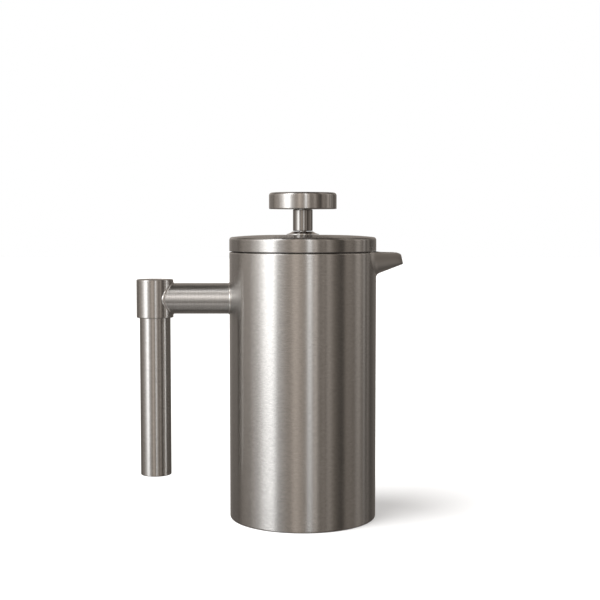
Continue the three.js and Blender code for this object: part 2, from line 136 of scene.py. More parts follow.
RIGHT_HALF = [
    (0, 0.195, 1.0),
    (4, 0.18, 0.95),
    (6, 0.23, 0.75),
    (8, 0.47, 0.1),      # narrow reflector
    (12.5, 0.52, 0.1),
    (15, 0.25, 0.6),
    (17.5, 0.235, 0.8),
    (19.5, 0.37, 0.7),
    (22, 0.20, 0.9),
    (25, 0.115, 0.95),
    (29, 0.11, 1.0),
    (32.5, 0.155, 1.0),
    (35, 0.08, 1.1),
    (38.5, 0.18, 0.85),
    (43, 0.18, 0.9),
    (46, 0.13, 1.0),
    (51, 0.082, 1.15),
    (56, 0.06, 1.1),     # black flag
    (61, 0.036, 1.0),
    (66, 0.042, 1.05),
    (71, 0.115, 1.05),
    (80, 0.115, 1.0),
    (87, 0.085, 1.1),
    (92, 0.16, 0.8),     # grey flat
    (98, 0.20, 0.8),
    (106.5, 0.078, 1.05),
    (111, 0.22, 0.6),
    (115.5, 0.04, 1.0),
    (122, 0.13, 0.8),
    (130, 0.045, 1.0),
    (144, 0.072, 0.8),
    (180, 0.12, 1.0),
]
# Elevation in degrees, then the share of the brightness that reaches that height: first for the
# walls of the room, then for its lamps.
WALLS_UPWARD = [
    (-90, 0.75),
    (-60, 0.85),
    (-40, 0.8),
    (-24, 0.8),
    (-10, 0.95),
    (20, 1.15),
    (45, 1.25),
    (60, 0.7),
    (75, 0.25),
    (90, 0.16),
]
LAMPS_UPWARD = [
    (-90, 0.15),
    (-55, 0.2),
    (-45, 0.25),
    (-37, 0.85),         # lamps mirrored in the table
    (-30, 0.8),
    (-25, 0.0),          # edge of the table
    (-16, 0.35),
    (-9, 0.65),
    (-2, 1.1),
    (6, 2.0),
    (13, 2.9),           # height of the softboxes
    (20, 2.1),
    (28, 1.1),
    (36, 0.2),
    (44, 1.2),
    (50, 3.0),           # strip light above the camera
    (54, 2.4),
    (60, 0.1),
    (70, 0.05),
    (90, 0.02),
]
STEEL_SHARE = 1.79       # steel returns about three fifths of the light, so the room is brighter
WARM = (1.13, 0.99, 0.87)
WALL_SHARE = 0.7         # how much of a fully warm direction is wall and not lamp
print("directions round the press:", len(LEFT_HALF) + len(RIGHT_HALF))


# %% Helpers for shader nodes
def fill_ramp(ramp, table, low, high):
    """Writes a table of places and levels, or of places, levels and warmth, into a colour ramp.

    The ramp's alpha keeps the share of that light that follows the lamps' heights: all of a
    lamp's, and a little of a warm wall's.
    """
    elements = ramp.color_ramp.elements
    while len(elements) > 1:
        elements.remove(elements[-1])
    for index, (place, level, *warmth) in enumerate(table):
        wall = warmth[0] if warmth else 0
        tint = [1 + (part - 1) * wall for part in WARM]
        position = (place - low) / (high - low)
        element = elements[0] if index == 0 else elements.new(position)
        element.position = position
        element.color = (*[level * part for part in tint], max(0, 1 - WALL_SHARE * wall))


def set_inputs(node, values):
    """Sets the named inputs of a node."""
    for name, value in values.items():
        node.inputs[name].default_value = value


def feed(links, sockets, values):
    """Links or sets each socket, whichever suits its value."""
    for socket, value in zip(sockets, values):
        if isinstance(value, bpy.types.NodeSocket):
            links.new(value, socket)
        else:
            socket.default_value = value


def add_math(nodes, links, operation, *inputs):
    """A Math node whose inputs are sockets or plain numbers."""
    node = nodes.new("ShaderNodeMath")
    node.operation = operation
    feed(links, node.inputs, inputs)
    return node.outputs[0]


def add_scale(nodes, links, colour, scale):
    """A Vector Math node that multiplies a colour by a number."""
    node = nodes.new("ShaderNodeVectorMath")
    node.operation = "SCALE"
    feed(links, (node.inputs[0], node.inputs["Scale"]), (colour, scale))
    return node.outputs[0]


# %% The world
world = bpy.data.worlds.new("studio")
bpy.context.scene.world = world
world.use_nodes = True
nodes, links = world.node_tree.nodes, world.node_tree.links
nodes.clear()
direction = nodes.new("ShaderNodeSeparateXYZ")
links.new(nodes.new("ShaderNodeTexCoord").outputs["Generated"], direction.inputs[0])
x, y, z = direction.outputs
toward_camera = add_math(nodes, links, "MULTIPLY", y, -1)
azimuth = add_math(nodes, links, "ARCTAN2", x, toward_camera)
turn = add_math(nodes, links, "DIVIDE", azimuth, math.pi)
elevation = add_math(nodes, links, "ARCSINE", z)
halves = []
for table, low, high, shift in ((LEFT_HALF, -180, 0, 1), (RIGHT_HALF, 0, 180, 0)):
    ramp = nodes.new("ShaderNodeValToRGB")
    fill_ramp(ramp, table, low, high)
    links.new(add_math(nodes, links, "ADD", turn, shift), ramp.inputs[0])
    halves.append(ramp)
on_right = add_math(nodes, links, "GREATER_THAN", azimuth, 0)
around = nodes.new("ShaderNodeMix")
around.data_type = "RGBA"
lamp_share = nodes.new("ShaderNodeMix")
for node, output, ends in ((around, "Color", (6, 7)), (lamp_share, "Alpha", (2, 3))):
    links.new(on_right, node.inputs[0])
    links.new(halves[0].outputs[output], node.inputs[ends[0]])
    links.new(halves[1].outputs[output], node.inputs[ends[1]])
tilt = add_math(nodes, links, "ADD", add_math(nodes, links, "DIVIDE", elevation, math.pi), 0.5)
upward = nodes.new("ShaderNodeMix")
links.new(lamp_share.outputs[0], upward.inputs[0])
for table, end in ((WALLS_UPWARD, 2), (LAMPS_UPWARD, 3)):
    ramp = nodes.new("ShaderNodeValToRGB")
    fill_ramp(ramp, [(place, level) for place, level in table], -90, 90)
    links.new(ramp.outputs["Color"], upward.inputs[end])
    links.new(tilt, ramp.inputs[0])
room = add_scale(nodes, links, around.outputs["Result"], upward.outputs[0])
seen = nodes.new("ShaderNodeMix")
seen.data_type = "RGBA"
links.new(nodes.new("ShaderNodeLightPath").outputs["Is Camera Ray"], seen.inputs[0])
links.new(add_scale(nodes, links, room, STEEL_SHARE), seen.inputs["A"])
seen.inputs["B"].default_value = (1, 1, 1, 1)
background = nodes.new("ShaderNodeBackground")
links.new(seen.outputs["Result"], background.inputs["Color"])
output = nodes.new("ShaderNodeOutputWorld")
links.new(background.outputs[0], output.inputs["Surface"])
print("world:", len(nodes), "nodes")

# %% [markdown]
# ## Floor and key light
#
# The press stands on a white sweep. One wide, soft key light from the front left throws the shadow
# that fades out to the right. The key is kept out of the reflections, because the softbox in the
# studio's tables already stand for it there. In the same way the floor is kept out of them, because
# the tables' lower halves are the floor as the steel sees it. Seen from below, the paper is clear, so
# that the foot can be looked at.

# %% Floor and key light
FLOOR_SIZE = 12
KEY_AZIMUTH = math.radians(-63)
KEY_HEIGHT = math.radians(63)
KEY_SOFTNESS = math.radians(40)
KEY_STRENGTH = 4.9
FLOOR_CLEARANCE = 0.05 * MM
PAPER_GREY = 0.5
PAPER_GLOW = 0.45

bpy.ops.mesh.primitive_plane_add(size=FLOOR_SIZE, location=(0, 0, -FLOOR_CLEARANCE))
floor = bpy.context.object
floor.name = "sweep"
floor.visible_glossy = False
paper = bpy.data.materials.new("white_paper")
paper.use_nodes = True
paper_shader = paper.node_tree.nodes["Principled BSDF"]
set_inputs(paper_shader, {
    "Base Color": (PAPER_GREY, PAPER_GREY, PAPER_GREY, 1),
    "Roughness": 0.9,
    "Specular IOR Level": 0,
    "Emission Color": (1, 1, 1, 1),
    "Emission Strength": PAPER_GLOW,
})
nodes, links = paper.node_tree.nodes, paper.node_tree.links
from_below = nodes.new("ShaderNodeNewGeometry").outputs["Backfacing"]
links.new(add_math(nodes, links, "SUBTRACT", 1, from_below), paper_shader.inputs["Alpha"])
floor.data.materials.append(paper)

key_turn = (math.pi / 2 - KEY_HEIGHT, 0, KEY_AZIMUTH)
bpy.ops.object.light_add(type="SUN", location=(0, 0, 1), rotation=key_turn)
key = bpy.context.object
key.name = "key"
key.data.energy = KEY_STRENGTH
key.data.angle = KEY_SOFTNESS
key.visible_glossy = False
print("key light from azimuth", round(math.degrees(KEY_AZIMUTH)))

# %% [markdown]
# ## Finishes
#
# Brushed steel is a mirror with thousands of fine grooves. Along the grooves it stays sharp, and
# across them it smears what it reflects, so the light on a brushed cylinder turns into upright bands.
# The shader has this built in: an anisotropic surface whose direction comes from each piece's own
# map. The map goes once round the piece, and the shine is turned a quarter to lie across it. The
# grooves themselves are a shared group of nodes: thin streaks that run round an axis, which give a
# little tone and height. A second group gives the faint clouds that handling leaves in the shine.

# %% The grain group
def new_group(name, inputs, outputs):
    """An empty shader node group with its sockets, and its input and output nodes."""
    group = bpy.data.node_groups.new(name, "ShaderNodeTree")
    for socket_name, kind, value in inputs:
        socket = group.interface.new_socket(socket_name, in_out="INPUT", socket_type=kind)
        if value is not None:
            socket.default_value = value
    for socket_name, kind in outputs:
        group.interface.new_socket(socket_name, in_out="OUTPUT", socket_type=kind)
    return group, group.nodes.new("NodeGroupInput"), group.nodes.new("NodeGroupOutput")


grain_group, grain_in, grain_out = new_group(
    "turned_grain",
    [
        ("Vector", "NodeSocketVector", None),
        ("Streak Turns", "NodeSocketFloat", 3.0),
        ("Lines per Metre", "NodeSocketFloat", 3000.0),
    ],
    [("Tone", "NodeSocketFloat"), ("Height", "NodeSocketFloat")],
)
nodes, links = grain_group.nodes, grain_group.links
split = nodes.new("ShaderNodeSeparateXYZ")
links.new(grain_in.outputs["Vector"], split.inputs[0])
x, y, z = split.outputs
squares = [add_math(nodes, links, "MULTIPLY", part, part) for part in (x, y)]
radius = add_math(nodes, links, "SQRT", add_math(nodes, links, "ADD", *squares))
safe_radius = add_math(nodes, links, "MAXIMUM", radius, 1e-5)
turns = grain_in.outputs["Streak Turns"]
pitch = grain_in.outputs["Lines per Metre"]
round_x, round_y = [
    add_math(nodes, links, "MULTIPLY", add_math(nodes, links, "DIVIDE", part, safe_radius), turns)
    for part in (x, y)
]
place = nodes.new("ShaderNodeCombineXYZ")
links.new(round_x, place.inputs[0])
links.new(round_y, place.inputs[1])
links.new(add_math(nodes, links, "MULTIPLY", z, pitch), place.inputs[2])
streaks = nodes.new("ShaderNodeTexNoise")
streaks.noise_dimensions = "4D"
set_inputs(streaks, {"Scale": 1, "Detail": 3, "Roughness": 0.65})
links.new(place.outputs[0], streaks.inputs["Vector"])
links.new(add_math(nodes, links, "MULTIPLY", radius, pitch), streaks.inputs["W"])
links.new(streaks.outputs["Fac"], grain_out.inputs["Tone"])
links.new(streaks.outputs["Fac"], grain_out.inputs["Height"])
print("grain group:", len(nodes), "nodes")

# %% The haze group
haze_group, haze_in, haze_out = new_group(
    "handling_haze",
    [("Vector", "NodeSocketVector", None), ("Patch Size", "NodeSocketFloat", 0.03)],
    [("Haze", "NodeSocketFloat")],
)
nodes, links = haze_group.nodes, haze_group.links
clouds = nodes.new("ShaderNodeTexNoise")
set_inputs(clouds, {"Detail": 4, "Roughness": 0.55})
links.new(haze_in.outputs["Vector"], clouds.inputs["Vector"])
links.new(add_math(nodes, links, "DIVIDE", 1, haze_in.outputs["Patch Size"]), clouds.inputs["Scale"])
links.new(clouds.outputs["Fac"], haze_out.inputs["Haze"])
print("haze group:", len(nodes), "nodes")

# %% [markdown]
# ## The steels
#
# Every steel on the press is one recipe with other numbers: how bright it is, how wide it smears the
# light, how much more it smears along its axis than round it, and how strong its grain is. Writing
# the recipe once as a function keeps the finishes alike. The body, the lid and the handle are
# brushed, the fittings are polished, and the inside is left as it was drawn.

# %% The steel recipe
GRAIN_MAP = "grain"
QUARTER_TURN = 0.25
RANGE = ("From Min", "From Max", "To Min", "To Max")
STREAK_RANGE = (0.25, 0.75)
CLOUD_RANGE = (0.3, 0.7)
GRAIN_DEPTH = 0.1 * MM


def steel(name, colour, roughness, anisotropy, axis=None, contrast=0.06, relief=0.02,
          pitch=3000, turns=3, haze=0.03):
    """A steel finish. The axis is the place of the line that the piece was turned about, and the
    way that line points: up, or along the arm."""
    material = bpy.data.materials.new(name)
    material.use_nodes = True
    nodes, links = material.node_tree.nodes, material.node_tree.links
    shader = nodes["Principled BSDF"]
    set_inputs(shader, {
        "Metallic": 1,
        "Anisotropic": anisotropy,
        "Anisotropic Rotation": QUARTER_TURN,
    })
    if anisotropy:
        tangent = nodes.new("ShaderNodeTangent")
        tangent.direction_type = "UV_MAP"
        tangent.uv_map = GRAIN_MAP
        links.new(tangent.outputs[0], shader.inputs["Tangent"])
    centre, along_x = axis or ((0, 0, 0), False)
    mapping = nodes.new("ShaderNodeMapping")
    mapping.vector_type = "TEXTURE"
    mapping.inputs["Location"].default_value = centre
    if along_x:
        mapping.inputs["Rotation"].default_value = (0, math.pi / 2, 0)
    links.new(nodes.new("ShaderNodeTexCoord").outputs["Object"], mapping.inputs["Vector"])
    grain = nodes.new("ShaderNodeGroup")
    grain.node_tree = grain_group
    set_inputs(grain, {"Streak Turns": turns, "Lines per Metre": pitch})
    links.new(mapping.outputs[0], grain.inputs["Vector"])
    clouds = nodes.new("ShaderNodeGroup")
    clouds.node_tree = haze_group
    links.new(mapping.outputs[0], clouds.inputs["Vector"])
    tone = nodes.new("ShaderNodeMapRange")
    set_inputs(tone, dict(zip(RANGE, (*STREAK_RANGE, 1 - contrast, 1 + contrast))))
    links.new(grain.outputs["Tone"], tone.inputs["Value"])
    toned = add_scale(nodes, links, colour, tone.outputs[0])
    links.new(toned, shader.inputs["Base Color"])
    rough = nodes.new("ShaderNodeMapRange")
    set_inputs(rough, dict(zip(RANGE, (*CLOUD_RANGE, roughness - haze, roughness + haze))))
    links.new(clouds.outputs["Haze"], rough.inputs["Value"])
    links.new(rough.outputs[0], shader.inputs["Roughness"])
    bump = nodes.new("ShaderNodeBump")
    set_inputs(bump, {"Strength": relief, "Distance": GRAIN_DEPTH})
    links.new(grain.outputs["Height"], bump.inputs["Height"])
    links.new(bump.outputs[0], shader.inputs["Normal"])
    return material


# %% The steels
# Darkest of the steels: partly the stem's own satin finish, partly painted shade from the knob above
# it.
STEM_STEEL_AND_SHADE = (0.43, 0.423, 0.413)
LID_STEEL = (0.55, 0.543, 0.532)
WARM_STEEL = (0.62, 0.612, 0.60)
CLEAN_STEEL = (0.66, 0.652, 0.64)
ARM_STEEL = (0.76, 0.755, 0.745)
BRIGHT_STEEL = (0.80, 0.79, 0.775)
GRIP_AXIS = ((GRIP_X, 0, 0), False)
ARM_AXIS = ((0, 0, ARM_Z), True)
WIDE_GRAIN = {"contrast": 0.11, "pitch": 1200, "turns": 18}
TUBE_GRAIN = {"contrast": 0.1, "pitch": 1200, "turns": 4}

brushed = steel("brushed_body", WARM_STEEL, 0.24, 0.93, **WIDE_GRAIN)
brushed_lid = steel("brushed_lid", LID_STEEL, 0.22, 0.95, **WIDE_GRAIN)
brushed_grip = steel("brushed_grip", WARM_STEEL, 0.25, 0.95, GRIP_AXIS, **TUBE_GRAIN)
brushed_arm = steel("brushed_arm", ARM_STEEL, 0.40, 1.0, ARM_AXIS, **TUBE_GRAIN)
drawn = steel("drawn_liner", CLEAN_STEEL, 0.3, 0.6, contrast=0.03)
pressed = steel("pressed_spout", BRIGHT_STEEL, 0.3, 0.0, contrast=0.03, relief=0.01)
polished = steel("polished_fittings", BRIGHT_STEEL, 0.09, 0.0, contrast=0.01, relief=0, haze=0.01)
satin_and_shade = steel("satin_stem_and_shade", STEM_STEEL_AND_SHADE, 0.15, 0.92, contrast=0.03, haze=0.02)
bead_steel = steel("polished_welds", BRIGHT_STEEL, 0.16, 0.0, ARM_AXIS, contrast=0.02, relief=0,
                   haze=0.03)
filter_steel = steel("bright_filter", CLEAN_STEEL, 0.25, 0.0, contrast=0.03)
drawn_plain = steel("machined_nut", CLEAN_STEEL, 0.3, 0.0, contrast=0.03)
woven = steel("woven_wire", CLEAN_STEEL, 0.3, 0.0, contrast=0.1)
steels = (brushed, brushed_lid, brushed_grip, brushed_arm, drawn, pressed, polished, satin_and_shade,
          bead_steel, filter_steel, drawn_plain, woven)
print("steels:", ", ".join(finish.name for finish in steels))

# %% [markdown]
# ## Rubber and nylon
#
# Two small pieces aren't steel: the ring under the lid is black silicone, and the rod runs in a white
# nylon guide. Both are moulded, so they share one recipe: a colour that drifts a little, and the fine
# skin that a mould leaves.

# %% Rubber and nylon
CLOUD_SIZE = 4 * MM
SKIN_STRENGTH = 0.15
SKIN_DEPTH = 0.05 * MM


def plain_finish(name, light, dark, roughness, grain_size):
    """A moulded finish: a colour that drifts between two tones, and a fine moulded texture."""
    material = bpy.data.materials.new(name)
    material.use_nodes = True
    nodes, links = material.node_tree.nodes, material.node_tree.links
    shader = nodes["Principled BSDF"]
    coordinates = nodes.new("ShaderNodeTexCoord").outputs["Object"]
    clouds = nodes.new("ShaderNodeGroup")
    clouds.node_tree = haze_group
    clouds.inputs["Patch Size"].default_value = CLOUD_SIZE
    links.new(coordinates, clouds.inputs["Vector"])
    colour = nodes.new("ShaderNodeMix")
    colour.data_type = "RGBA"
    set_inputs(colour, {"A": (*dark, 1), "B": (*light, 1)})
    links.new(clouds.outputs["Haze"], colour.inputs[0])
    links.new(colour.outputs["Result"], shader.inputs["Base Color"])
    shader.inputs["Roughness"].default_value = roughness
    texture = nodes.new("ShaderNodeTexNoise")
    texture.inputs["Scale"].default_value = 1 / grain_size
    links.new(coordinates, texture.inputs["Vector"])
    bump = nodes.new("ShaderNodeBump")
    set_inputs(bump, {"Strength": SKIN_STRENGTH, "Distance": SKIN_DEPTH})
    links.new(texture.outputs["Fac"], bump.inputs["Height"])
    links.new(bump.outputs[0], shader.inputs["Normal"])
    return material


silicone = plain_finish("black_silicone", (0.035, 0.034, 0.033), (0.02, 0.02, 0.02), 0.6, 0.3 * MM)
nylon = plain_finish("white_nylon", (0.86, 0.84, 0.79), (0.78, 0.76, 0.7), 0.45, 0.4 * MM)
print("moulded finishes:", silicone.name, nylon.name)

# %% [markdown]
# ## The lathe
#
# A turned piece is one outline swept about an axis. Spinning an outline would do, but extruding a
# ring from point to point and scaling it shows every step, and it leaves clean rings of faces. Two
# small helpers go with it. One writes the points of a rounded edge. The other adds a ring close to
# both ends of every long straight stretch, so that the shading turns only at the edge and the long
# walls stay true.

# %% Outlines and their edges
HOLD = 0.3 * MM
LONGEST_UNHELD = 5 * HOLD
WELD = 1e-6
SMOOTH_ANGLE = math.radians(35)
ALONG_X = (0, math.pi / 2, 0)


def choose(*pieces):
    """Selects these pieces and nothing else, and makes the first one active."""
    bpy.ops.object.select_all(action="DESELECT")
    for piece in pieces:
        piece.select_set(True)
    bpy.context.view_layer.objects.active = pieces[0] if pieces else None


def arc(centre_r, centre_z, radius, start, end, steps=6):
    """Points of an arc in the (radius, height) plane, with angles in degrees."""
    points = []
    for i in range(steps + 1):
        angle = math.radians(start + (end - start) * i / steps)
        points.append((centre_r + radius * math.cos(angle), centre_z + radius * math.sin(angle)))
    return points


def held(profile):
    """The profile with a point close to both ends of each long straight stretch."""
    points = [profile[0]]
    for (r0, z0), (r1, z1) in zip(profile, profile[1:]):
        length = math.hypot(r1 - r0, z1 - z0)
        if length > LONGEST_UNHELD:
            for share in (HOLD / length, 1 - HOLD / length):
                points.append((r0 + (r1 - r0) * share, z0 + (z1 - z0) * share))
        points.append((r1, z1))
    return points


# %% The grain map
def wrap(piece, profile):
    """The grain map: it goes once round the piece, and along its profile."""
    mesh = piece.data
    corners = np.empty(len(mesh.loops), dtype=np.int64)
    mesh.loops.foreach_get("vertex_index", corners)
    places = np.empty(len(mesh.vertices) * 3)
    mesh.vertices.foreach_get("co", places)
    places = places.reshape(-1, 3)
    angle = np.arctan2(places[:, 1], places[:, 0])[corners]
    radius = np.hypot(places[:, 0], places[:, 1])
    outline = np.array(profile)
    run = np.r_[0, np.cumsum(np.hypot(*np.diff(outline, axis=0).T))]
    gap = (radius[:, None] - outline[:, 0]) ** 2 + (places[:, 2:3] - outline[:, 1]) ** 2
    along = run[gap.argmin(1)][corners]
    face_of = np.repeat(np.arange(len(mesh.polygons)), [p.loop_total for p in mesh.polygons])
    centres = np.array([p.center[:2] for p in mesh.polygons])
    middle = np.arctan2(centres[:, 1], centres[:, 0])[face_of]
    turn = middle + (angle - middle + math.pi) % (2 * math.pi) - math.pi
    turn = np.where(radius[corners] < WELD, middle, turn)
    layer = mesh.uv_layers.new(name=GRAIN_MAP)
    layer.uv.foreach_set("vector", np.c_[turn / (2 * math.pi), along].ravel())


# %% Turning a piece
def smooth(piece, angle=SMOOTH_ANGLE):
    choose(piece)
    bpy.ops.object.shade_smooth_by_angle(angle=angle)


def settle(piece):
    """Puts the piece's place into its mesh, so that its object sits at the origin."""
    choose(piece)
    bpy.ops.object.transform_apply(location=True, rotation=True, scale=True)


def turned(name, profile, sides=96):
    """Turns a profile of (radius, height) points about Z, ring by ring.

    A profile that starts and ends on the axis makes a solid. Any other closes on itself.
    """
    solid = profile[0][0] == 0
    outline = held(profile if solid else profile + profile[:1])
    rings = [point for point in outline if point[0] > 0]
    radius, height = rings[0]
    choose()
    bpy.ops.mesh.primitive_circle_add(
        vertices=sides,
        radius=radius,
        location=(0, 0, height),
        fill_type="TRIFAN" if solid else "NOTHING",
    )
    piece = bpy.context.object
    piece.name = piece.data.name = name
    bpy.ops.object.mode_set(mode="EDIT")
    bpy.ops.mesh.select_all(action="SELECT")
    for next_radius, next_height in rings[1:]:
        step = (0, 0, next_height - height)
        bpy.ops.mesh.extrude_region_move(TRANSFORM_OT_translate={"value": step})
        scale = next_radius / radius
        bpy.ops.transform.resize(value=(scale, scale, 1), center_override=(0, 0, next_height))
        radius, height = next_radius, next_height
    bpy.ops.mesh.select_all(action="SELECT")
    bpy.ops.mesh.remove_doubles(threshold=WELD)
    bpy.ops.mesh.normals_make_consistent(inside=False)
    bpy.ops.object.mode_set(mode="OBJECT")
    settle(piece)
    wrap(piece, outline)
    smooth(piece)
    return piece


# %% Cutting and fitting
def drum(radius, depth, location, sides, rotation=(0, 0, 0)):
    """A plain cylinder, mostly for cutting with, whose place is in its mesh."""
    choose()
    bpy.ops.mesh.primitive_cylinder_add(
        vertices=sides, radius=radius, depth=depth, location=location, rotation=rotation
    )
    cylinder = bpy.context.object
    settle(cylinder)
    return cylinder


def cut(piece, *tools, operation="DIFFERENCE"):
    """Cuts the piece with the tools and throws them away."""
    for tool in tools:
        choose(piece)
        modifier = piece.modifiers.new("cut", "BOOLEAN")
        modifier.operation = operation
        modifier.solver = "EXACT"
        modifier.object = tool
        bpy.ops.object.modifier_apply(modifier=modifier.name)
        bpy.data.objects.remove(tool)


def fit(piece, body, slot, finish, *cad_nodes):
    """Gives the piece its finish, hangs it on the body it rides on, and hides the CAD nodes it stands
    for.
    """
    piece.data.materials.clear()
    piece.data.materials.append(finish)
    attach(piece, body)
    if cad_nodes:
        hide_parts(*cad_nodes)
    print(piece.name, len(piece.data.polygons), "faces")


# %% [markdown]
# ## The vessel
#
# The vessel is two drawn cylinders, one inside the other, joined at the rim, with a pressed disc in
# the foot. Each is a turned sheet with a real thickness. The spout's opening is cut through both
# walls with one sideways oval drum, which is simpler and truer than moving the rim's points by hand.

# %% The spout's outline at the shell
SPOUT_TIP_HALF = 4.5 * MM
SPOUT_TIP_Z = RIM_Z - 8.35 * MM
SPOUT_TIP_X = spout_high.x
SPOUT_RISE = math.tan(math.radians(20.7))
SPOUT_SPREAD = math.tan(math.radians(34))
SPOUT_LEAN = math.tan(math.radians(15.3))
SPOUT_WALL = 1.2 * MM
SPOUT_FILLET = 2.2 * MM
RIM_DIP = 0.35 * MM
NOSE_LENGTH = 5 * MM
NOSE_DROP = 1.8 * MM
NOSE_LEAN = 1.4 * MM
SOLVE_STEPS = 30


def spout_rim(x):
    """Height of the spout's rim: a shallow dip, then a nose that falls away."""
    share = min(1, max(0, (x - BODY_R) / NOSE_LENGTH))
    out = share * share * (3 - 2 * share)
    nose = max(0, (x - (SPOUT_TIP_X - NOSE_LEAN - NOSE_LENGTH)) / NOSE_LENGTH)
    return RIM_Z - RIM_DIP * out - NOSE_DROP * nose**3


def spout_point(x, angle, inset=0):
    """A point of the spout's half-round section, which hangs below its rim."""
    half = SPOUT_TIP_HALF + SPOUT_SPREAD * (SPOUT_TIP_X - x) - inset
    under = SPOUT_TIP_Z - SPOUT_RISE * (SPOUT_TIP_X - x)
    depth = spout_rim(x) - under - inset
    return np.array([x, half * math.cos(angle), spout_rim(x) + depth * math.sin(angle)])


def spout_at_radius(radius, angle, inset=0):
    """Where the spout's skin meets an upright cylinder about the vessel's axis."""
    x = radius
    for _ in range(SOLVE_STEPS):
        y = spout_point(x, angle, inset)[1]
        x = math.sqrt(max(1e-9, radius**2 - y**2))
    return spout_point(x, angle, inset)


root_side = spout_at_radius(BODY_R, math.pi)
root_under = spout_at_radius(BODY_R, 1.5 * math.pi)
NOTCH_GAP = 0.3 * MM
NOTCH_HALF = abs(root_side[1]) + NOTCH_GAP
NOTCH_DEPTH = RIM_Z - root_under[2] + NOTCH_GAP
NOTCH_LENGTH = 40 * MM
print("spout root half-width", abs(root_side[1]), "depth", NOTCH_DEPTH)


def notch_drum():
    """An oval drum that lies along X, through the spout's side of both walls."""
    centre = (BODY_R, 0, RIM_Z)
    oval = drum(1, NOTCH_LENGTH, centre, 96, ALONG_X)
    bpy.ops.object.mode_set(mode="EDIT")
    bpy.ops.mesh.select_all(action="SELECT")
    bpy.ops.transform.resize(value=(1, NOTCH_HALF, NOTCH_DEPTH), center_override=centre)
    bpy.ops.object.mode_set(mode="OBJECT")
    return oval


# %% The outer shell
FOOT_EDGE = 1.1 * MM
FOOT_FLANGE = 4 * MM
RIM_EDGE = 0.9 * MM
RIM_FLANGE = 1.4 * MM
BODY_SIDES = 192
UNDER_NOTCH = 6 * MM

shell_inside = BODY_R - SHEET
shell = turned("drawn_shell", [
    (BODY_R - FOOT_FLANGE, 0),
    *arc(BODY_R - FOOT_EDGE, FOOT_EDGE, FOOT_EDGE, -90, 0),
    (BODY_R, RIM_Z - NOTCH_DEPTH - UNDER_NOTCH),
    *arc(BODY_R - RIM_EDGE, RIM_Z - RIM_EDGE, RIM_EDGE, 0, 90, 4),
    (BODY_R - RIM_FLANGE, RIM_Z),
    (BODY_R - RIM_FLANGE, RIM_Z - SHEET),
    (shell_inside, RIM_Z - SHEET),
    (shell_inside, RIM_Z - NOTCH_DEPTH - UNDER_NOTCH),
    (shell_inside, SHEET),
    (BODY_R - FOOT_FLANGE, SHEET),
], BODY_SIDES)
cut(shell, notch_drum())
smooth(shell)
fit(shell, "vessel", "brushed_steel", brushed, "outer_shell")

# %% The inner vessel
FLOOR_Z = liner_low.z + SHEET
FLOOR_CORNER = 4 * MM
LIP_BEND = 1 * MM

liner_outside = INNER_R + SHEET
LIP_GAP = 0.3 * MM
lip_r = BODY_R - RIM_FLANGE - LIP_GAP
inner_corner = FLOOR_CORNER - SHEET
mitre = SHEET * (math.sqrt(2) - 1)
liner = turned("drawn_liner", [
    (0, FLOOR_Z - SHEET),
    *arc(liner_outside - FLOOR_CORNER, FLOOR_Z - SHEET + FLOOR_CORNER, FLOOR_CORNER, -90, 0),
    (liner_outside, RIM_Z - NOTCH_DEPTH - UNDER_NOTCH),
    (liner_outside, RIM_Z - SHEET - LIP_BEND),
    (liner_outside + LIP_BEND, RIM_Z - SHEET),
    (lip_r, RIM_Z - SHEET),
    (lip_r, RIM_Z),
    (liner_outside + LIP_BEND - mitre, RIM_Z),
    (INNER_R, RIM_Z - SHEET - LIP_BEND + mitre),
    (INNER_R, RIM_Z - NOTCH_DEPTH - UNDER_NOTCH),
    *arc(INNER_R - inner_corner, FLOOR_Z + inner_corner, inner_corner, 0, -90),
    (0, FLOOR_Z),
], BODY_SIDES)
cut(liner, notch_drum())
smooth(liner)
fit(liner, "vessel", "inner_steel", drawn, "inner_vessel")

# %% The base plate
base_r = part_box("base_plate")[1].y
RING_OUT_SHARE = 0.84
RING_IN_SHARE = 0.66
RING_RISE = 0.6 * MM
ring_out = base_r * RING_OUT_SHARE
ring_in = base_r * RING_IN_SHARE
base = turned("pressed_base", [
    (0, 0),
    (ring_in, 0),
    (ring_in + RING_RISE, RING_RISE),
    (ring_out - RING_RISE, RING_RISE),
    (ring_out, 0),
    (base_r, 0),
    (base_r, SHEET),
    (ring_out, SHEET),
    (ring_out - RING_RISE, SHEET + RING_RISE),
    (ring_in + RING_RISE, SHEET + RING_RISE),
    (ring_in, SHEET),
    (0, SHEET),
], 128)
fit(base, "vessel", "brushed_steel", brushed, "base_plate")

# %% [markdown]
# ## The spout
#
# The spout is a half-round beak that narrows to its tip and is blended into the shell. Its section
# changes all the way, so no single extrusion gives it. It is made from a flat grid: one way of the
# grid goes round the section from rim to rim, the other runs out along the outside, over the cut
# end, and back along the channel and through both walls. Each point is put in its place by the same
# few formulas that the vessel's notch uses.

# %% The spout
ROUND = 64
BLEND_STEPS = 8
OUT_STEPS = 16
PROUD = 0.03 * MM
SHOULDER = SPOUT_FILLET * 1.2
SPOUT_EASE = 0.45 * MM
ON_EDGE = 0.01 * MM


def on_shell(point, outward, reach, proud):
    """The point moved by a distance over the shell's surface, and lifted off it."""
    turn = math.atan2(point[1], point[0]) + outward[0] * reach / BODY_R
    r = BODY_R + proud
    return np.array([r * math.cos(turn), r * math.sin(turn), point[2] + outward[1] * reach])


def away_from_spout(angle):
    """The way that points straight out of the spout's outline on the shell laid flat."""
    step = 0.02
    ahead, behind = [
        spout_at_radius(BODY_R, min(2 * math.pi, max(math.pi, angle + side * step)))
        for side in (1, -1)
    ]
    round_shell = BODY_R * (math.atan2(ahead[1], ahead[0]) - math.atan2(behind[1], behind[0]))
    climb = ahead[2] - behind[2]
    return np.array([climb, -round_shell]) / math.hypot(round_shell, climb)


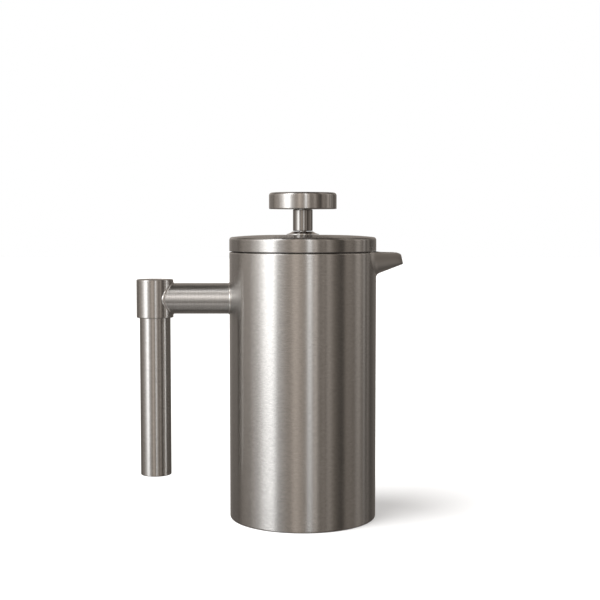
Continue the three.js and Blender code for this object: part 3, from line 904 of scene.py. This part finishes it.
def spout_run(angle):
    """The points from the shell out to the tip, back inside, and through both walls."""
    root = spout_at_radius(BODY_R, angle)
    outward = away_from_spout(angle)
    foot = on_shell(root, outward, SPOUT_FILLET, PROUD)
    end = inner_end = SPOUT_TIP_X
    for _ in range(SOLVE_STEPS):
        drop = spout_point(end, angle)[2] - SPOUT_TIP_Z
        end = SPOUT_TIP_X - SPOUT_LEAN * drop
        inner_drop = spout_point(inner_end, angle, SPOUT_WALL)[2] - SPOUT_TIP_Z
        inner_end = SPOUT_TIP_X - SPOUT_LEAN * inner_drop
    start = root[0] + SHOULDER
    shoulder = spout_point(start, angle)
    points = []
    for i in range(BLEND_STEPS):
        t = i / BLEND_STEPS
        points.append((1 - t) ** 2 * foot + 2 * t * (1 - t) * root + t**2 * shoulder)
    for i in range(OUT_STEPS + 1):
        points.append(spout_point(start + (end - start) * i / OUT_STEPS, angle))
    inner_root = spout_at_radius(BODY_R, angle, SPOUT_WALL)
    for i in range(OUT_STEPS + 1):
        x = inner_end + (inner_root[0] - inner_end) * i / OUT_STEPS
        points.append(spout_point(x, angle, SPOUT_WALL))
    for skin, radius in ((inner_root, INNER_R), (root, INNER_R), (root, BODY_R - SHEET)):
        points.append(np.array([math.sqrt(radius**2 - skin[1] ** 2), skin[1], skin[2]]))
    points.append(on_shell(root, outward, SPOUT_FILLET, -SHEET))
    points.append(foot)
    return points


# %% The spout's grid
runs = [spout_run(math.pi + math.pi * i / ROUND) for i in range(ROUND + 1)]
run_length = len(runs[0])
choose()
bpy.ops.mesh.primitive_grid_add(x_subdivisions=run_length - 1, y_subdivisions=ROUND, size=1)
spout = bpy.context.object
spout.name = spout.data.name = "pouring_spout"
for vertex in spout.data.vertices:
    step = round((vertex.co.x + 0.5) * (run_length - 1))
    turn = round((vertex.co.y + 0.5) * ROUND)
    vertex.co = runs[turn][step]
print("spout grid", run_length, "by", ROUND + 1)

# %% The spout's rim and cut end
def select_edges(piece, test):
    """Selects, in edit mode, the edges whose two ends both pass the test."""
    bpy.ops.object.mode_set(mode="EDIT")
    bpy.ops.mesh.select_mode(type="EDGE")
    bpy.ops.mesh.select_all(action="DESELECT")
    bpy.ops.object.mode_set(mode="OBJECT")
    passed = [test(vertex.co) for vertex in piece.data.vertices]
    for edge in piece.data.edges:
        edge.select = all(passed[i] for i in edge.vertices)
    bpy.ops.object.mode_set(mode="EDIT")


def on_spout_edge(point):
    beyond_shell = point.x > BODY_R + 1 * MM
    on_rim = abs(point.z - spout_rim(point.x)) < ON_EDGE
    leaning = point.x - SPOUT_TIP_X + SPOUT_LEAN * (point.z - SPOUT_TIP_Z)
    return beyond_shell and (on_rim or abs(leaning) < ON_EDGE)


bpy.ops.object.mode_set(mode="EDIT")
bpy.ops.mesh.select_all(action="SELECT")
bpy.ops.mesh.remove_doubles(threshold=WELD)
bpy.ops.mesh.select_mode(type="EDGE")
bpy.ops.mesh.select_all(action="DESELECT")
bpy.ops.mesh.select_non_manifold()
bpy.ops.mesh.fill()
bpy.ops.mesh.select_all(action="SELECT")
bpy.ops.mesh.tris_convert_to_quads()
bpy.ops.mesh.normals_make_consistent(inside=False)
bpy.ops.object.mode_set(mode="OBJECT")
select_edges(spout, on_spout_edge)
bpy.ops.mesh.bevel(offset=SPOUT_EASE, segments=3, affect="EDGES")
bpy.ops.object.mode_set(mode="OBJECT")
smooth(spout)
fit(spout, "vessel", "brushed_steel", pressed, "spout")

# %% [markdown]
# ## The handle
#
# The handle is two tubes and a short sleeve. The arm is a tube laid along X and cut to a saddle at
# both ends, as a notching tool does it. The grip hangs from a wider sleeve, and both tubes are
# closed with pressed discs. The weld at each end of the arm was ground and polished, so it shows as
# a bright bead that follows the saddle: a thin ring, pushed along X until it lies on the joint.

# %% The arm
TUBE_WALL = 1.2 * MM
SINK = 0.1 * MM
ARM_LENGTH = -GRIP_X

arm = turned("arm_tube", [
    (TUBE_R - TUBE_WALL, 0),
    (TUBE_R, 0),
    (TUBE_R, ARM_LENGTH),
    (TUBE_R - TUBE_WALL, ARM_LENGTH),
])
arm.rotation_euler = (0, -math.pi / 2, 0)
arm.location = (0, 0, ARM_Z)
settle(arm)
for saddle_r, centre_x in ((BODY_R, 0), (SOCKET_R, GRIP_X)):
    cut(arm, drum(saddle_r - SINK, 4 * TUBE_R, (centre_x, 0, ARM_Z), BODY_SIDES))
smooth(arm)
fit(arm, "vessel", "brushed_handle", brushed_arm, "handle_arm")


# %% The weld beads
def bead(name, ring_r, section, saddle_r, centre_x, side):
    """A ring about the arm whose points slide along X onto an upright cylinder."""
    choose()
    bpy.ops.mesh.primitive_torus_add(
        major_segments=128,
        minor_segments=16,
        major_radius=ring_r,
        minor_radius=section,
        location=(0, 0, ARM_Z),
        rotation=ALONG_X,
    )
    ring = bpy.context.object
    ring.name = ring.data.name = name
    settle(ring)
    for vertex in ring.data.vertices:
        y = vertex.co.y * ring_r / math.hypot(vertex.co.y, vertex.co.z - ARM_Z)
        vertex.co.x += centre_x + side * math.sqrt(saddle_r**2 - y**2)
    smooth(ring)
    fit(ring, "vessel", "polished_steel", bead_steel)


SOCKET_BEAD = 1.3 * MM
SOCKET_SINK = 0.6 * MM
BODY_BEAD = 0.9 * MM
BODY_SINK = 0.4 * MM
bead("arm_bead_socket", TUBE_R - SOCKET_SINK, SOCKET_BEAD, SOCKET_R - SOCKET_SINK, GRIP_X, 1)
bead("arm_bead_body", TUBE_R - BODY_SINK, BODY_BEAD, BODY_R, 0, -1)

# %% Socket, grip and their discs
CAP_THICK = 1.7 * MM
CAP_SET_BACK = 0.1 * MM
CAP_EDGE = 0.15 * MM
CAP_GAP = 0.05 * MM
EDGE = 0.5 * MM
FIT = 0.3 * MM


def sleeve(name, radius, bore, low, high, edge, centre_x=0, sides=96, steps=4):
    """An upright tube with rounded outer edges, or a disc when it has no bore."""
    piece = turned(name, [
        (bore, low),
        *arc(radius - edge, low + edge, edge, -90, 0, steps),
        *arc(radius - edge, high - edge, edge, 0, 90, steps),
        (bore, high),
    ], sides)
    piece.location.x = centre_x
    settle(piece)
    return piece


bore = TUBE_R + FIT
socket = sleeve("socket_sleeve", SOCKET_R, bore, socket_low.z, socket_high.z, EDGE, GRIP_X)
fit(socket, "vessel", "brushed_handle", brushed_grip, "handle_socket")
socket_disc = sleeve("socket_disc", TUBE_R, 0, socket_high.z - CAP_THICK,
                     socket_high.z - CAP_SET_BACK, CAP_EDGE, GRIP_X, steps=3)
fit(socket_disc, "vessel", "brushed_handle", brushed_grip, "socket_cap")
grip = sleeve("grip_tube", TUBE_R, TUBE_R - TUBE_WALL, grip_low.z, grip_high.z, EDGE, GRIP_X)
fit(grip, "vessel", "brushed_handle", brushed_grip, "handle_grip")
grip_disc = sleeve("grip_disc", TUBE_R - TUBE_WALL - CAP_GAP, 0, grip_low.z + CAP_SET_BACK,
                   grip_low.z + CAP_THICK, CAP_EDGE, GRIP_X, steps=3)
fit(grip_disc, "vessel", "brushed_handle", brushed_grip, "grip_end_cap")

# One wide key stands for lamps all round, and among those a thin handle throws no shadow.
for piece in (grip, grip_disc, socket, socket_disc, arm):
    piece.visible_shadow = False

# %% [markdown]
# ## The lid
#
# The lid is two pressings. The upper one is a shallow cap with a generous edge. The lower one is a
# plate with a skirt that drops into the vessel and has a row of slots facing the spout. A silicone
# ring sits under the plate. A bush for the rod stands in the middle and is held by a hexagonal nut.

# %% The lid's upper pressing
LID_SHEET = 1 * MM
LID_BEND = 1 * MM
LID_CROWN = 1.4 * MM
LID_ROUND = 2.0 * MM
LID_LIP = 0.3 * MM
LID_DROP = 0.25 * MM
CROWN_SLOPE = 84
CROWN_RINGS = 12
GUIDE_WALL = 1 * MM
BUSH_WALL = 1.4 * MM
bush_low, bush_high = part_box("rod_bush")
guide_low, guide_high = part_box("rod_guide")
nut_low, nut_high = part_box("bush_nut")
rod_low, rod_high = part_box("plunger_rod")

ROD_R = rod_high.y
ROD_BORE = ROD_R + FIT
GUIDE_R = ROD_BORE + GUIDE_WALL
BUSH_BORE = GUIDE_R + FIT
BUSH_NECK_R = BUSH_BORE + BUSH_WALL
LID_HOLE_R = BUSH_NECK_R + FIT
lid_inside = BODY_R - LID_SHEET
lid_foot = lid_low.z - LID_DROP
crown_r = BODY_R - LID_ROUND


def crown(r, drop=0):
    """A point of the lid's top, which is flat in the middle and falls away towards its edge."""
    return (r, lid_high.z - LID_CROWN * (r / crown_r) ** 4 - drop)


lid = turned("lid_dome", [
    (lid_inside, lid_foot),
    *arc(BODY_R - LID_LIP, lid_foot + LID_LIP, LID_LIP, -90, 0, 4),
    *arc(crown_r, crown(crown_r)[1] - LID_ROUND, LID_ROUND, 0, CROWN_SLOPE, 8),
    *[crown(crown_r * ring / CROWN_RINGS) for ring in range(CROWN_RINGS - 1, 1, -1)],
    crown(LID_HOLE_R),
    crown(LID_HOLE_R, LID_SHEET),
    *[crown(crown_r * ring / CROWN_RINGS, LID_SHEET) for ring in range(4, CROWN_RINGS - 1, 2)],
    *arc(lid_inside - LID_BEND, crown(crown_r)[1] - LID_SHEET - LID_BEND, LID_BEND,
         CROWN_SLOPE, 0),
], BODY_SIDES)
fit(lid, "lid", "brushed_steel", brushed_lid, "lid_cover")

# %% The plate under the lid
SKIRT_GAP = 0.5 * MM
SKIRT_R = INNER_R - SKIRT_GAP
SKIRT_BEND = 1 * MM
pan_r = pan_high.y
plate_low = pan_high.z - SHEET
pan = turned("lid_plate", [
    (LID_HOLE_R, plate_low),
    *arc(SKIRT_R - SHEET - SKIRT_BEND, plate_low - SKIRT_BEND, SKIRT_BEND, 90, 0, 4),
    (SKIRT_R - SHEET, pan_low.z),
    (SKIRT_R, pan_low.z),
    (SKIRT_R, plate_low),
    (pan_r, plate_low),
    (pan_r, pan_high.z),
    (LID_HOLE_R, pan_high.z),
], BODY_SIDES)

# %% The slots in the skirt
SLOT_COUNT = 9
SLOT_PITCH = math.radians(5.5)
SLOT_WIDTH = 2 * MM
SLOT_HEIGHT = 7 * MM
CUTTER_LENGTH = 6 * MM


def slot_cutter(turn):
    """A tall bar with round ends, laid across the skirt."""
    middle = (pan_low.z + RIM_Z) / 2
    bar = drum(SLOT_WIDTH / 2, CUTTER_LENGTH, (SKIRT_R, 0, middle), 24, ALONG_X)
    half = (SLOT_HEIGHT - SLOT_WIDTH) / 2
    for vertex in bar.data.vertices:
        vertex.co.z += half if vertex.co.z > middle else -half
    bar.rotation_euler.z = turn
    settle(bar)
    return bar


def joined(pieces):
    """One object from several that don't touch."""
    choose(*pieces)
    bpy.ops.object.join()
    return bpy.context.object


turns = [(i - (SLOT_COUNT - 1) / 2) * SLOT_PITCH for i in range(SLOT_COUNT)]
cut(pan, joined([slot_cutter(turn) for turn in turns]))
smooth(pan)
fit(pan, "lid", "inner_steel", drawn, "lid_pan")

# %% The gasket
seal_low, seal_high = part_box("lid_gasket")
seal_r = seal_high.y
seal_bore = SKIRT_R + FIT
seal_edge = (seal_high.z - seal_low.z) / 2
seal = turned("lid_seal", [
    *arc(seal_bore + seal_edge, seal_low.z + seal_edge, seal_edge, 270, 90, 6),
    *arc(seal_r - seal_edge, seal_low.z + seal_edge, seal_edge, 90, -90, 6),
], BODY_SIDES)
fit(seal, "seal", "gasket_rubber", silicone, "lid_gasket")

# %% The bush
BUSH_BASE_R = bush_high.y
BUSH_TOP_R = 7.2 * MM
BUSH_HEIGHT = 2.1 * MM
BUSH_HOLLOW = 0.25 * MM
BUSH_FOOT_EDGE = 0.35 * MM
BUSH_TOP_EDGE = 0.2 * MM
SEAT_DEPTH = 1.5 * MM
SEAT_WALL = 1.5 * MM
CONE_STEPS = 8
bush_z = bush_high.z - BUSH_HEIGHT
seat_z = bush_high.z - SEAT_DEPTH
seat_r = GUIDE_R + SEAT_WALL
base_edge = bush_z + BUSH_FOOT_EDGE
top_edge = bush_high.z - BUSH_TOP_EDGE
cone = []
for i in range(CONE_STEPS + 1):
    share = i / CONE_STEPS
    r = BUSH_BASE_R + (BUSH_TOP_R - BUSH_BASE_R) * share
    z = base_edge + (top_edge - base_edge) * share - BUSH_HOLLOW * math.sin(math.pi * share)
    cone.append((r, z))
bush = turned("bush_cone", [
    (BUSH_BORE, bush_low.z),
    (BUSH_NECK_R, bush_low.z),
    (BUSH_NECK_R, bush_z),
    (BUSH_BASE_R, bush_z),
    *cone,
    (BUSH_TOP_R - BUSH_TOP_EDGE, bush_high.z),
    (seat_r, bush_high.z),
    (seat_r, seat_z),
    (BUSH_BORE, seat_z),
])
fit(bush, "lid", "polished_steel", polished, "rod_bush")

# %% The hexagonal nut
NUT_CHAMFER = 0.6        # as a share of what stands out beyond the flats
NUT_SMOOTH = math.radians(20)


def hex_nut(name, corner_r, bore, low, high, sides=6):
    """A hexagonal nut whose corners are turned off at a slant, above and below."""
    nut = drum(corner_r, high - low, (0, 0, (low + high) / 2), sides, (0, 0, math.pi / 2))
    nut.name = nut.data.name = name
    flat_r = corner_r * math.cos(math.pi / sides)
    chamfer = (corner_r - flat_r) * NUT_CHAMFER
    cut(nut, turned("chamfer", [
        (0, low - MM),
        (flat_r, low - MM),
        (flat_r, low),
        (corner_r, low + chamfer),
        (corner_r, high - chamfer),
        (flat_r, high),
        (flat_r, high + MM),
        (0, high + MM),
    ], 96), operation="INTERSECT")
    cut(nut, turned("bore", [
        (0, low - MM), (bore, low - MM), (bore, high + MM), (0, high + MM),
    ], 64))
    smooth(nut, NUT_SMOOTH)
    return nut


bush_nut = hex_nut("bush_hex_nut", nut_high.y, BUSH_NECK_R, nut_low.z, nut_high.z)
fit(bush_nut, "lid", "inner_steel", drawn_plain, "bush_nut")

# %% The guide for the rod
FLANGE_THICK = 0.9 * MM
FLANGE_EDGE = 0.2 * MM
flange_z = guide_high.z - FLANGE_THICK
flange_r = guide_high.y
guide = turned("rod_guide_bush", [
    (ROD_BORE, guide_low.z),
    (GUIDE_R, guide_low.z),
    (GUIDE_R, flange_z),
    (flange_r, flange_z),
    *arc(flange_r - FLANGE_EDGE, guide_high.z - FLANGE_EDGE, FLANGE_EDGE, 0, 90, 3),
    (ROD_BORE, guide_high.z),
], 64)
fit(guide, "guide", "guide_nylon", nylon, "rod_guide")

# %% [markdown]
# ## The plunger
#
# The knob is a flat drum pressed from sheet, with a second disc set up inside it that carries the
# threaded boss. Under it stands a polished sleeve on the rod.

# %% Knob, stem and rod
KNOB_SHEET = 1.2 * MM
KNOB_EDGE = 2 * MM
KNOB_LIFT = 0.4 * MM
BOSS_R = 6.5 * MM
knob_low, knob_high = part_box("knob_cap")
knob_base_low, knob_base_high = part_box("knob_base")
stem_low, stem_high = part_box("knob_stem")
KNOB_R = knob_high.y
knob_inside = KNOB_R - KNOB_SHEET
knob_foot = knob_low.z + KNOB_LIFT
knob = turned("knob_shell", [
    (0, knob_high.z - KNOB_SHEET),
    (knob_inside, knob_high.z - KNOB_SHEET),
    (knob_inside, knob_foot),
    *arc(KNOB_R - EDGE, knob_foot + EDGE, EDGE, -90, 0, 4),
    *arc(KNOB_R - KNOB_EDGE, knob_high.z - KNOB_EDGE, KNOB_EDGE, 0, 90, 8),
    (0, knob_high.z),
], BODY_SIDES)
fit(knob, "plunger", "brushed_steel", brushed, "knob_cap")

knob_under = turned("knob_underside", [
    (ROD_BORE, knob_base_low.z),
    (knob_base_high.y, knob_base_low.z),
    (knob_base_high.y, knob_base_low.z + KNOB_SHEET),
    (BOSS_R, knob_base_low.z + KNOB_SHEET),
    (BOSS_R, knob_base_high.z),
    (ROD_BORE, knob_base_high.z),
])
fit(knob_under, "plunger", "brushed_steel", brushed, "knob_base")

stem = sleeve("stem_sleeve", stem_high.y, ROD_BORE, stem_low.z, stem_high.z, EDGE)
# The stem's steel is partly painted shade from the knob above it.
fit(stem, "plunger", "polished_steel", satin_and_shade, "knob_stem")

rod = turned("rod", [
    (0, rod_low.z),
    (ROD_R - EDGE, rod_low.z),
    (ROD_R, rod_low.z + EDGE),
    (ROD_R, rod_high.z - EDGE),
    (ROD_R - EDGE, rod_high.z),
    (0, rod_high.z),
], 48)
fit(rod, "plunger", "polished_steel", polished, "plunger_rod")

# %% [markdown]
# ## The filter
#
# Four things are clamped together on the rod's lower end. A spoked plate holds a woven screen
# against a perforated plate, and a long coil spring lies round the edge and presses the screen's rim
# against the vessel's wall. The spring is a real helix: a wire wound round a ring.

# %% Collar, perforated plate and end nut
collar_low, collar_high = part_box("rod_collar")
collar = sleeve("collar", collar_high.y, ROD_BORE, collar_low.z, collar_high.z, EDGE, 0, 64)
fit(collar, "plunger", "filter_steel", filter_steel, "rod_collar")

PLATE_THICK = 1 * MM
plate_box_low, plate_box_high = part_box("filter_plate")
PLATE_R = plate_box_high.y
plate_top = plate_box_low.z + PLATE_THICK
PLATE_CORNER = 1.4 * MM
plate = turned("strainer_plate", [
    (ROD_BORE, plate_box_low.z),
    *arc(PLATE_R - PLATE_CORNER, plate_box_low.z + PLATE_CORNER, PLATE_CORNER, -90, 0, 5),
    *arc(PLATE_R - PLATE_THICK / 2, plate_box_high.z - PLATE_THICK / 2, PLATE_THICK / 2, 0, 180, 5),
    *arc(PLATE_R - PLATE_CORNER, plate_box_low.z + PLATE_CORNER, PLATE_CORNER - PLATE_THICK,
         0, -90, 3),
    (ROD_BORE, plate_top),
], 128)
HOLE_R = 3.2 * MM
HOLE_ROWS = [(0.42, 6), (0.74, 12)]      # share of the radius, and how many holes
drills = []
for share, count in HOLE_ROWS:
    for i in range(count):
        turn = 2 * math.pi * i / count
        place = (PLATE_R * share * math.cos(turn), PLATE_R * share * math.sin(turn), plate_top)
        drills.append(drum(HOLE_R, CUTTER_LENGTH, place, 32))
cut(plate, joined(drills))
smooth(plate)
fit(plate, "plunger", "filter_steel", filter_steel, "filter_plate")

end_low, end_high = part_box("end_nut")
end_nut = hex_nut("rod_nut", end_high.y, ROD_R, end_low.z, end_high.z)
fit(end_nut, "plunger", "filter_steel", filter_steel, "end_nut")

# %% The coil spring
COIL_TURNS = 96
POINTS_PER_TURN = 10
WIRE_R = 0.45 * MM
WIRE_SMOOTH = math.radians(60)
coil_low, coil_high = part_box("filter_coil")
coil_section = (coil_high.z - coil_low.z) / 2
coil_middle = (coil_high.z + coil_low.z) / 2
coil_ring = coil_high.y - coil_section
wire = bpy.data.curves.new("spring_coil", "CURVE")
wire.dimensions = "3D"
wire.bevel_depth = WIRE_R
wire.bevel_resolution = 1
winding = wire.splines.new("POLY")
count = COIL_TURNS * POINTS_PER_TURN
winding.points.add(count - 1)
for i in range(count):
    round_ring = 2 * math.pi * i / count
    round_wire = 2 * math.pi * i / POINTS_PER_TURN
    r = coil_ring + (coil_section - WIRE_R) * math.cos(round_wire)
    z = coil_middle + (coil_section - WIRE_R) * math.sin(round_wire)
    winding.points[i].co = (r * math.cos(round_ring), r * math.sin(round_ring), z, 1)
winding.use_cyclic_u = True
coil = bpy.data.objects.new("spring_coil", wire)
bpy.context.collection.objects.link(coil)
choose(coil)
bpy.ops.object.convert(target="MESH")
coil = bpy.context.object
smooth(coil, WIRE_SMOOTH)
fit(coil, "plunger", "filter_steel", filter_steel, "filter_coil")

# %% The woven screen
screen_low, screen_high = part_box("filter_screen")
HEM = 1.4 * MM
CLOTH = 0.2 * MM
screen_middle = (screen_low.z + screen_high.z) / 2
cloth_r = screen_high.y - HEM
screen = turned("mesh_screen", [
    (ROD_BORE, screen_middle - CLOTH / 2),
    (cloth_r, screen_middle - CLOTH / 2),
    (cloth_r, screen_middle + CLOTH / 2),
    (ROD_BORE, screen_middle + CLOTH / 2),
], 128)
fit(screen, "plunger", "filter_steel", woven, "filter_screen")
hem_edge = (screen_high.z - screen_low.z) / 2
hem = turned("screen_hem", [
    *arc(cloth_r + hem_edge, screen_middle, hem_edge, 270, 90, 5),
    *arc(screen_high.y - hem_edge, screen_middle, hem_edge, 90, -90, 5),
], 128)
fit(hem, "plunger", "filter_steel", filter_steel)

# %% The spoked plate
spider_low, spider_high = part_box("cross_plate")
SPOKES = 4
WINDOW_TURN = math.radians(68)
WINDOW_CUTS = 15
PLATE_RING = 5 * MM
HUB_RING = 3 * MM
SPIDER_EDGE = 0.3 * MM
window_out = spider_high.y - PLATE_RING
window_in = collar_high.y + HUB_RING
spider = sleeve("spoked_plate", spider_high.y, ROD_BORE, spider_low.z, spider_high.z, SPIDER_EDGE,
                sides=128, steps=3)


def window_cutter(middle_turn):
    """A block, cut into slices and bent round into a sector that passes through the plate."""
    choose()
    bpy.ops.mesh.primitive_cube_add(size=1, location=(0, 0, 0))
    block = bpy.context.object
    bpy.ops.object.mode_set(mode="EDIT")
    bpy.ops.mesh.select_all(action="SELECT")
    bpy.ops.mesh.subdivide(number_cuts=WINDOW_CUTS)
    bpy.ops.object.mode_set(mode="OBJECT")
    for vertex in block.data.vertices:
        r = window_in + (window_out - window_in) * (vertex.co.x + 0.5)
        turn = middle_turn + WINDOW_TURN * vertex.co.y
        z = spider_low.z + (vertex.co.z * 4 + 0.5) * (spider_high.z - spider_low.z)
        vertex.co = (r * math.cos(turn), r * math.sin(turn), z)
    return block


quarter = 2 * math.pi / SPOKES
cut(spider, joined([window_cutter((i + 0.5) * quarter) for i in range(SPOKES)]))
smooth(spider)
fit(spider, "plunger", "filter_steel", filter_steel, "cross_plate")
